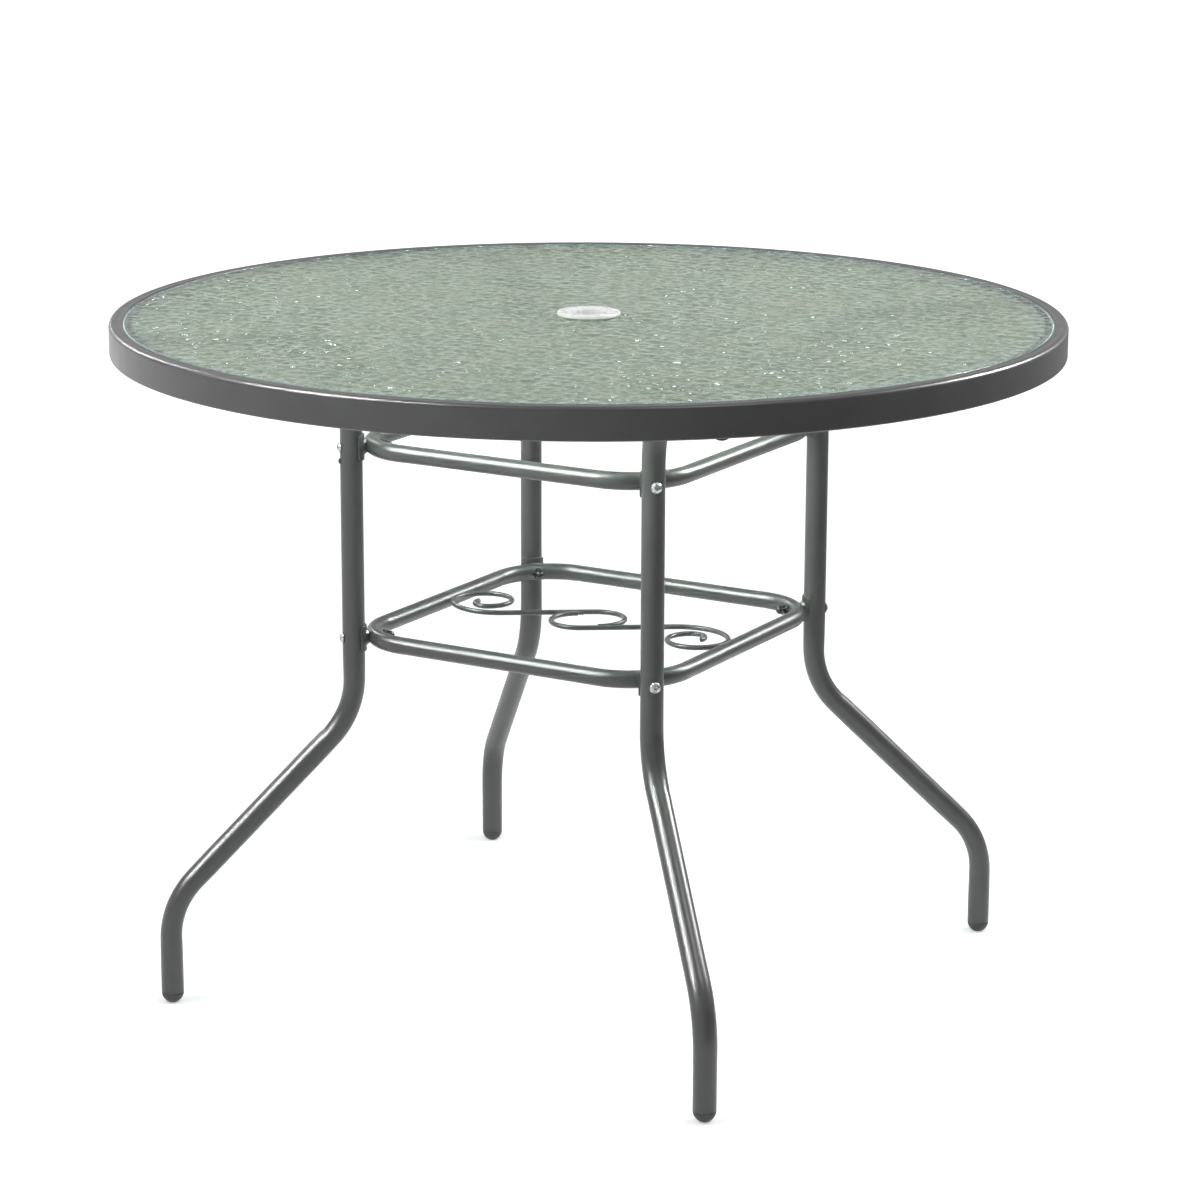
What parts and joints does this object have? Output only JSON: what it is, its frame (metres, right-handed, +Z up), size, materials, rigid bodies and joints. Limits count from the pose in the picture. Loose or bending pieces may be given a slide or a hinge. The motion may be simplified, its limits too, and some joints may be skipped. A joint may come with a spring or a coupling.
{
  "type": "umbrella table",
  "caption": "Round glass-topped patio table in a steel ring on splayed bent tube legs, braced by square tube frames with a wire scroll that guides an umbrella pole.",
  "frame": {"origin": "on the floor, under the middle of the round top", "axes": "+Z up; +X along the line of the wire scrolls in the lower frame; the legs stand on the diagonals between X and Y"},
  "size_m": [1.0668, 1.0668, 0.7751],
  "materials": {
    "painted_steel": "semi-gloss powder coat",
    "glass": "rippled, polished edges",
    "white_plastic": "translucent, moulded",
    "vinyl": "soft, matt",
    "black_plastic": "moulded, satin",
    "zinc": "bright zinc plate",
    "black_steel": "black plate, satin"
  },
  "bodies": {
    "table_frame": {"table_ring": "painted_steel", "glass_strip": "vinyl", "ring_bracket_front": "painted_steel", "ring_bracket_right": "painted_steel", "ring_bracket_back": "painted_steel", "ring_bracket_left": "painted_steel", "ring_bolts": "zinc", "ring_nuts": "black_steel", "leg_front": "painted_steel", "leg_right": "painted_steel", "leg_back": "painted_steel", "leg_left": "painted_steel", "foot_cap_front": "black_plastic", "foot_cap_right": "black_plastic", "foot_cap_back": "black_plastic", "foot_cap_left": "black_plastic", "upper_frame": "painted_steel", "upper_saddle_front": "painted_steel", "upper_saddle_right": "painted_steel", "upper_saddle_back": "painted_steel", "upper_saddle_left": "painted_steel", "upper_frame_bolts": "zinc", "upper_frame_washers": "black_steel", "upper_frame_nuts": "black_steel", "lower_frame": "painted_steel", "lower_saddle_front": "painted_steel", "lower_saddle_right": "painted_steel", "lower_saddle_back": "painted_steel", "lower_saddle_left": "painted_steel", "lower_frame_bolts": "zinc", "lower_frame_washers": "black_steel", "lower_frame_nuts": "black_steel", "scroll_wire_left": "painted_steel", "scroll_wire_right": "painted_steel", "leg_hole_plug": "black_plastic"},
    "glass": {"glass_top": "glass"},
    "pole_ring": {"umbrella_ring": "white_plastic"}
  },
  "joints": [
    {"name": "glass_lift", "type": "slide", "parent": "table_frame", "child": "glass", "axis": [0, 0, 1], "range_m": [0, 0.12]},
    {"name": "umbrella_ring_lift", "type": "slide", "parent": "glass", "child": "pole_ring", "axis": [0, 0, 1], "range_m": [0, 0.05]}
  ]
}
